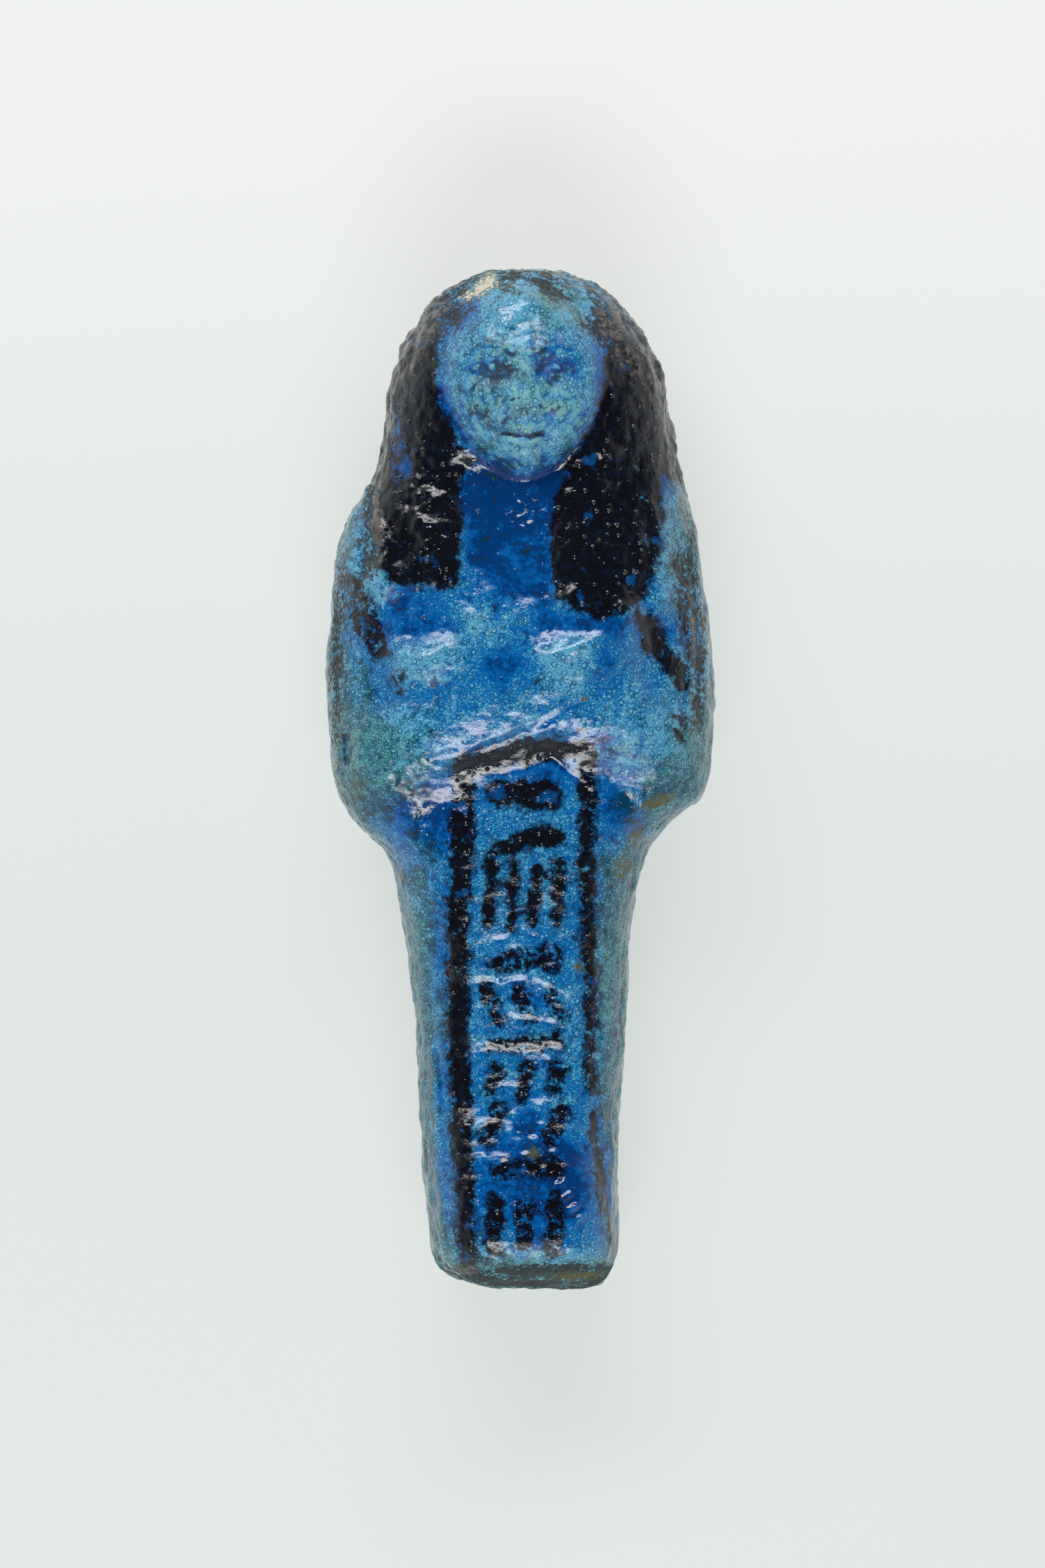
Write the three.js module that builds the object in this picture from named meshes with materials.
// Ushabti: a small mummy-shaped funerary figure, moulded in one piece of glazed quartz faience.
//
// It lies on its back, as a loose figure of its kind does. +Y runs from the soles to the crown,
// +Z is its front and -X its right-hand side. The origin is under the middle of the back.
// The skin is a grid of rings, one after another along the body. Each ring is an outline and a
// side profile read at its place, with the carving of the front laid over it.
// Lengths are in millimetres.

import * as THREE from "three";

// Driving dimensions.
const LENGTH = 110; // soles to crown
const WIDTH = 42; // across the elbows
const DEPTH = 27; // back to the tip of the nose

// The grid of the skin.
const FRONT_COLUMNS = 38;
const BACK_COLUMNS = 14;
const MIDDLE_CROWDING = 0.36; // how much closer the front's columns stand at the middle
const RING_SECTIONS = [
  // [share of LENGTH where the section ends, rings in it]
  [0.012, 3],
  [0.05, 4],
  [0.42, 18],
  [0.76, 30],
  [0.965, 27],
  [0.99, 4],
  [1, 3],
];

// Outlines seen from the front, as [share of LENGTH from the soles, share of half the WIDTH].
const RIGHT_OUTLINE = [
  [0, 0.2],
  [0.009, 0.34],
  [0.03, 0.45],
  [0.11, 0.497],
  [0.285, 0.555],
  [0.345, 0.597],
  [0.415, 0.66],
  [0.445, 0.78],
  [0.465, 0.89],
  [0.49, 0.955],
  [0.54, 0.99],
  [0.6, 1],
  [0.66, 0.978],
  [0.72, 0.943],
  [0.76, 0.88],
  [0.795, 0.765],
  [0.835, 0.7],
  [0.875, 0.682],
  [0.91, 0.632],
  [0.95, 0.53],
  [0.971, 0.445],
  [0.99, 0.29],
  [1, 0.15],
];
const LEFT_OUTLINE = [
  [0, 0.41],
  [0.009, 0.449],
  [0.03, 0.496],
  [0.05, 0.51],
  [0.11, 0.506],
  [0.285, 0.558],
  [0.345, 0.568],
  [0.415, 0.632],
  [0.44, 0.683],
  [0.46, 0.778],
  [0.478, 0.925],
  [0.495, 0.972],
  [0.54, 0.995],
  [0.6, 1],
  [0.64, 0.983],
  [0.735, 0.921],
  [0.815, 0.811],
  [0.892, 0.745],
  [0.93, 0.65],
  [0.971, 0.496],
  [0.99, 0.35],
  [1, 0.2],
];

// Side profiles, as [share of LENGTH, share of DEPTH]: the front without its carving, the level
// where the figure is widest, and the back, which is worn flat wherever it would pass below 0.
const FRONT_LINE = [
  [0, 0.43],
  [0.006, 0.55],
  [0.02, 0.665],
  [0.045, 0.735],
  [0.085, 0.745],
  [0.14, 0.675],
  [0.2, 0.622],
  [0.3, 0.655],
  [0.4, 0.7],
  [0.47, 0.725],
  [0.56, 0.765],
  [0.64, 0.785],
  [0.72, 0.772],
  [0.79, 0.752],
  [0.85, 0.785],
  [0.905, 0.8],
  [0.945, 0.765],
  [0.97, 0.705],
  [0.99, 0.6],
  [1, 0.5],
];
const WIDEST_LINE = [
  [0, 0.27],
  [0.05, 0.24],
  [0.2, 0.215],
  [0.4, 0.24],
  [0.48, 0.32],
  [0.6, 0.35],
  [0.78, 0.37],
  [0.88, 0.41],
  [1, 0.41],
];
const BACK_LINE = [
  [0, 0.13],
  [0.01, 0.05],
  [0.03, -0.02],
  [0.1, -0.05],
  [0.9, -0.05],
  [0.95, 0.02],
  [0.975, 0.1],
  [0.99, 0.2],
  [1, 0.31],
];

// How boxy a ring is: 2 is an ellipse, and more is squarer.
const FRONT_SQUARENESS = [
  [0, 3.2],
  [0.3, 2.9],
  [0.42, 2.6],
  [0.52, 2.3],
  [0.8, 2.25],
  [1, 2.2],
];
const BACK_SQUARENESS = 2.7;
const RELIEF_RIM = 0.34; // share of a ring's front height below which the carving fades out

// The face, a plain oval on the canon of three equal thirds, five eyes wide.
const FACE = {
  middle: [0.02, 0.885], // [share of half the WIDTH, share of LENGTH]
  width: 0.152, // share of LENGTH
  height: 0.18, // share of LENGTH
  chinTaper: 0.2, // how much narrower the oval is towards the chin
  edge: [0.84, 1.1], // where the oval's edge starts and ends its fall, as shares of its radius
  rise: 0.045, // share of DEPTH
  crown: 0.07, // share of DEPTH
};

// The face's features. Places and sizes are shares of its half width and half height, from its
// middle, and rises are shares of DEPTH. A bow bends a feature down towards its ends.
const FEATURES = {
  brow: { place: [0.4, 0.36], size: [0.5, 0.16], rise: 0.014, bow: 0.12 },
  socket: { place: [0.4, 0.16], size: [0.42, 0.26], rise: -0.03, bow: 0 },
  eye: { place: [0.4, 0.17], size: [0.25, 0.13], rise: 0.028, bow: 0 },
  cheek: { place: [0.5, -0.2], size: [0.36, 0.34], rise: 0.016, bow: 0 },
  upperLip: { place: [0, -0.5], size: [0.38, 0.085], rise: 0.026, bow: 0 },
  lowerLip: { place: [0, -0.64], size: [0.32, 0.09], rise: 0.026, bow: 0 },
  chin: { place: [0, -0.86], size: [0.4, 0.2], rise: 0.022, bow: 0 },
};
const NOSE = {
  bridge: 0.3, // share of the face's half height where the ridge starts
  tip: -0.26, // share of the face's half height where it is highest
  bridgeFade: [0.1, 0.16], // how far its upper end fades, below and above the bridge
  tipFade: 0.14, // how far its lower end fades
  halfWidths: [0.195, 0.33], // at the bridge and the tip, shares of the face's half width
  bridgeHeight: 0.35, // share of the height at the tip
};

// The wig: a mass of hair round the face, with two panels that fall on the chest.
const WIG = {
  rise: 0.052, // share of DEPTH
  edge: 0.011, // width of its edges, share of LENGTH
  throat: [-0.29, 0.19], // the bare strip between the panels, shares of half the WIDTH
  throatFlare: 0.25, // how far the strip widens at the chin
  chin: 0.8, // share of LENGTH where the strip ends under the chin
  panelEnds: [0.682, 0.655], // shares of LENGTH, right and left
  panelSides: [-0.76, 0.78], // shares of half the WIDTH
  chinFade: 0.06, // over how much of LENGTH the strip widens
  shoulder: 0.775, // share of LENGTH above which the wig is as wide as the figure
};

// Arms in low relief, crossed right over left, as rounded bars between two places on the front.
// Places are [share of half the WIDTH, share of LENGTH], radii shares of LENGTH, rises of DEPTH.
const UPPER_ARMS = [
  { from: [-0.84, 0.735], to: [-0.82, 0.545], radius: 0.04, rise: 0.038 },
  { from: [0.85, 0.725], to: [0.86, 0.545], radius: 0.038, rise: 0.036 },
];
const LEFT_FOREARM = { from: [0.76, 0.535], to: [-0.2, 0.607], radius: 0.052, rise: 0.07 };
const RIGHT_FOREARM = { from: [-0.76, 0.522], to: [0.24, 0.61], radius: 0.05, rise: 0.09 };
const FISTS = [
  { from: [-0.46, 0.622], to: [-0.38, 0.628], radius: 0.052, rise: 0.085 },
  { from: [0.3, 0.628], to: [0.4, 0.634], radius: 0.056, rise: 0.098 },
];
const ARM_BLEND = 0.012; // how softly the arms run into each other, share of DEPTH
const BAR_ROUNDNESS = 0.8; // power of a bar's section: lower is boxier
const BELLY_HOLLOW = { from: [-0.3, 0.475], to: [0.45, 0.5], radius: 0.045, rise: -0.018 };

// Working sizes.
const HALF_WIDTH = WIDTH / 2;
const MID_LENGTH = 0.5; // share of LENGTH at the origin
const RING_COLUMNS = FRONT_COLUMNS + BACK_COLUMNS;
const { clamp, smoothstep } = THREE.MathUtils;

/** Reads a list of [place, value] stations as a smooth curve that never overshoots them. */
function curveThrough(stations) {
  const count = stations.length;
  const slopes = stations.slice(1).map(([place, value], i) => {
    const [lastPlace, lastValue] = stations[i];
    return (value - lastValue) / (place - lastPlace);
  });
  const tangents = stations.map((_, i) => {
    if (i === 0) return slopes[0];
    if (i === count - 1) return slopes[count - 2];
    const product = slopes[i - 1] * slopes[i];
    return product <= 0 ? 0 : (2 * product) / (slopes[i - 1] + slopes[i]);
  });
  return (place) => {
    const next = stations.findIndex((station) => station[0] >= place);
    const i = clamp(next - 1, 0, count - 2);
    const [x0, y0] = stations[i];
    const [x1, y1] = stations[i + 1];
    const span = x1 - x0;
    const t = clamp((place - x0) / span, 0, 1);
    const rest = 1 - t;
    return (
      y0 * rest * rest * (1 + 2 * t) +
      y1 * t * t * (3 - 2 * t) +
      span * t * rest * (tangents[i] * rest - tangents[i + 1] * t)
    );
  };
}

const rightOutline = curveThrough(RIGHT_OUTLINE);
const leftOutline = curveThrough(LEFT_OUTLINE);
const frontLine = curveThrough(FRONT_LINE);
const widestLine = curveThrough(WIDEST_LINE);
const backLine = curveThrough(BACK_LINE);
const frontSquareness = curveThrough(FRONT_SQUARENESS);

/** The place in millimetres, seen from the front, of [share of half the WIDTH, share of LENGTH]. */
const placeOf = ([across, along]) =>
  new THREE.Vector2(across * HALF_WIDTH, (along - MID_LENGTH) * LENGTH);

/** A round hump, 1 at its middle and 0 from radius 1 outwards. */
const hump = (radius) => (radius < 1 ? (1 - radius * radius) ** 2 : 0);

/** The larger of two heights, with the corner between them rounded over the given width. */
function softMax(a, b, width) {
  const share = clamp(0.5 + (a - b) / (2 * width), 0, 1);
  return b + (a - b) * share + width * share * (1 - share);
}

/** The height of a rounded bar in low relief at a point of the front. */
function barRelief(bar, point) {
  const start = placeOf(bar.from);
  const run = placeOf(bar.to).sub(start);
  const offset = point.clone().sub(start);
  const share = clamp(offset.dot(run) / run.lengthSq(), 0, 1);
  const distance = offset.addScaledVector(run, -share).length() / (bar.radius * LENGTH);
  return distance < 1 ? bar.rise * DEPTH * (1 - distance * distance) ** BAR_ROUNDNESS : 0;
}

/** The crossed arms and the fists, the right forearm over the left. */
function armRelief(point) {
  const blend = ARM_BLEND * DEPTH;
  return [...UPPER_ARMS, LEFT_FOREARM, RIGHT_FOREARM, ...FISTS].reduce(
    (height, bar) => softMax(height, barRelief(bar, point), blend),
    0,
  );
}

/** The wig's height: one inside its edges, and the bare throat between its two panels. */
function wigRelief(point) {
  const across = point.x / HALF_WIDTH;
  const along = point.y / LENGTH + MID_LENGTH;
  const edge = WIG.edge;
  const edgeAcross = (edge * LENGTH) / HALF_WIDTH;
  const end = across < 0 ? WIG.panelEnds[0] : WIG.panelEnds[1];
  const abovePanelEnd = smoothstep(along, end - edge, end + edge);
  const flare = WIG.throatFlare * smoothstep(along, WIG.chin - WIG.chinFade, WIG.chin);
  const low = WIG.throat[0] * (1 + flare);
  const high = WIG.throat[1] * (1 + flare);
  const inThroat =
    smoothstep(across, low - edgeAcross, low + edgeAcross) *
    (1 - smoothstep(across, high - edgeAcross, high + edgeAcross)) *
    (1 - smoothstep(along, WIG.chin, WIG.chin + 2 * edge));
  const [right, left] = WIG.panelSides;
  const inPanels =
    smoothstep(across, right - edgeAcross, right + edgeAcross) *
    (1 - smoothstep(across, left - edgeAcross, left + edgeAcross));
  const inHead = smoothstep(along, WIG.shoulder - edge, WIG.shoulder + 2 * edge);
  return WIG.rise * DEPTH * abovePanelEnd * (1 - inThroat) * Math.max(inPanels, inHead);
}

/** A point of the face in shares of its half width and half height, from its middle. */
function faceShares(point) {
  const offset = point.clone().sub(placeOf(FACE.middle));
  const down = (2 * offset.y) / (FACE.height * LENGTH);
  const taper = 1 - FACE.chinTaper * smoothstep(-down, -0.2, 1);
  return { across: (2 * offset.x) / (FACE.width * LENGTH * taper), up: down };
}

/** The features of the face without the nose, alike on both sides of the middle. */
function featureRelief({ across, up }) {
  const side = Math.abs(across);
  const heights = Object.values(FEATURES).map(({ place, size, rise, bow }) => {
    const offset = up - place[1] + bow * side * side;
    return rise * hump(Math.hypot((side - place[0]) / size[0], offset / size[1]));
  });
  return DEPTH * heights.reduce((sum, height) => sum + height, 0);
}

/** The nose's shape: a ridge from the brow that widens and rises to the tip. */
function noseShape({ across, up }) {
  const { bridge, tip, bridgeFade, tipFade, halfWidths, bridgeHeight } = NOSE;
  const share = clamp((bridge - up) / (bridge - tip), 0, 1);
  const halfWidth = halfWidths[0] + (halfWidths[1] - halfWidths[0]) * share;
  const lowerEnd = smoothstep(up, tip - tipFade, tip);
  const upperEnd = 1 - smoothstep(up, bridge - bridgeFade[0], bridge + bridgeFade[1]);
  const height = bridgeHeight + (1 - bridgeHeight) * share;
  return height * lowerEnd * upperEnd * hump(Math.abs(across) / halfWidth);
}

/** The face's raised oval, without the nose. */
function faceRelief(point) {
  const shares = faceShares(point);
  const radius = Math.hypot(shares.across, shares.up);
  const [start, end] = FACE.edge;
  const inside = 1 - smoothstep(radius, start, end);
  const crown = FACE.crown * Math.max(0, 1 - radius * radius);
  return inside * (DEPTH * (FACE.rise + crown) + featureRelief(shares));
}

/** The front's height above the ring's widest level, without relief, at a share of its half width. */
const ringHeight = (share, squareness) =>
  (1 - Math.min(1, Math.abs(share)) ** squareness) ** (1 / squareness);

/** The front of the ring at a share of LENGTH, for a share of its half width, without the nose. */
function frontWithoutNose(along, share) {
  const outline = share < 0 ? rightOutline(along) : leftOutline(along);
  const point = placeOf([share * outline, along]);
  const height = ringHeight(share, frontSquareness(along));
  const widest = widestLine(along) * DEPTH;
  const base = widest + (frontLine(along) * DEPTH - widest) * height;
  const fade = smoothstep(height, 0, RELIEF_RIM);
  const relief =
    armRelief(point) + wigRelief(point) + faceRelief(point) + barRelief(BELLY_HOLLOW, point);
  return { point, z: base + fade * relief };
}

/** The nose's height, which brings its tip to the figure's full DEPTH. */
function noseHeight() {
  let best = { shape: 0, z: 0 };
  for (let along = FACE.middle[1] - FACE.height / 2; along < FACE.middle[1]; along += 0.002) {
    const share = (FACE.middle[0] * HALF_WIDTH) / (leftOutline(along) * HALF_WIDTH);
    const { point, z } = frontWithoutNose(along, share);
    const shape = noseShape(faceShares(point));
    if (shape > best.shape) best = { shape, z };
  }
  return (DEPTH - best.z) / best.shape;
}

/** A point of the skin on the front, at a share of LENGTH and of the ring's half width. */
function frontPoint(along, share, nose) {
  const { point, z } = frontWithoutNose(along, share);
  return new THREE.Vector3(point.x, point.y, z + nose * noseShape(faceShares(point)));
}

/** A point of the skin on the back, which is flat where the figure lies. */
function backPoint(along, share) {
  const outline = share < 0 ? rightOutline(along) : leftOutline(along);
  const { x, y } = placeOf([share * outline, along]);
  const widest = widestLine(along) * DEPTH;
  const sunk = (widest - backLine(along) * DEPTH) * ringHeight(share, BACK_SQUARENESS);
  return new THREE.Vector3(x, y, Math.max(0, widest - sunk));
}

/** The rings' places, as shares of LENGTH from the soles to the crown. */
function ringPlaces() {
  const places = [0];
  for (const [end, count] of RING_SECTIONS) {
    const start = places[places.length - 1];
    for (let i = 1; i <= count; i++) places.push(start + ((end - start) * i) / count);
  }
  return places;
}

/** One ring of skin, from the left side over the front to the right side and round the back. */
function ring(along, nose) {
  const points = [];
  for (let i = 0; i < FRONT_COLUMNS; i++) {
    const even = 1 - (2 * i) / FRONT_COLUMNS;
    const crowded = even * (1 - MIDDLE_CROWDING * (1 - even * even));
    points.push(frontPoint(along, Math.sin((crowded * Math.PI) / 2), nose));
  }
  for (let i = 0; i < BACK_COLUMNS; i++) {
    points.push(backPoint(along, -Math.cos((i * Math.PI) / BACK_COLUMNS)));
  }
  return points;
}

/** The closed skin: rings joined by pairs of triangles, with a flat fan at either end. */
function figureGeometry() {
  const nose = noseHeight();
  const rings = ringPlaces().map((along) => ring(along, nose));
  const points = rings.flat();
  const triangles = [];
  const corner = (row, column) => row * RING_COLUMNS + (column % RING_COLUMNS);
  for (let row = 0; row < rings.length - 1; row++) {
    for (let column = 0; column < RING_COLUMNS; column++) {
      const a = corner(row, column);
      const b = corner(row, column + 1);
      const c = corner(row + 1, column + 1);
      const d = corner(row + 1, column);
      // The shorter diagonal keeps slanting ridges, such as the forearms, straight.
      if (points[a].distanceTo(points[c]) < points[b].distanceTo(points[d])) {
        triangles.push(a, c, b, a, d, c);
      } else {
        triangles.push(a, d, b, b, d, c);
      }
    }
  }
  const middleOf = (list) =>
    list.reduce((sum, p) => sum.add(p), new THREE.Vector3()).divideScalar(list.length);
  const soles = points.push(middleOf(rings[0])) - 1;
  const crown = points.push(middleOf(rings[rings.length - 1])) - 1;
  for (let column = 0; column < RING_COLUMNS; column++) {
    triangles.push(soles, corner(0, column), corner(0, column + 1));
    triangles.push(crown, corner(rings.length - 1, column + 1), corner(rings.length - 1, column));
  }
  const geometry = new THREE.BufferGeometry().setFromPoints(points);
  geometry.setIndex(triangles);
  geometry.computeVertexNormals();
  return geometry;
}

/** Glossy copper-blue faience. */
const faience = new THREE.MeshStandardMaterial({ color: 0x2a78b4, roughness: 0.25, metalness: 0 });

const ushabti = new THREE.Mesh(figureGeometry(), faience);
ushabti.name = "ushabti";

const figure = new THREE.Group();
figure.add(ushabti);

export default figure;
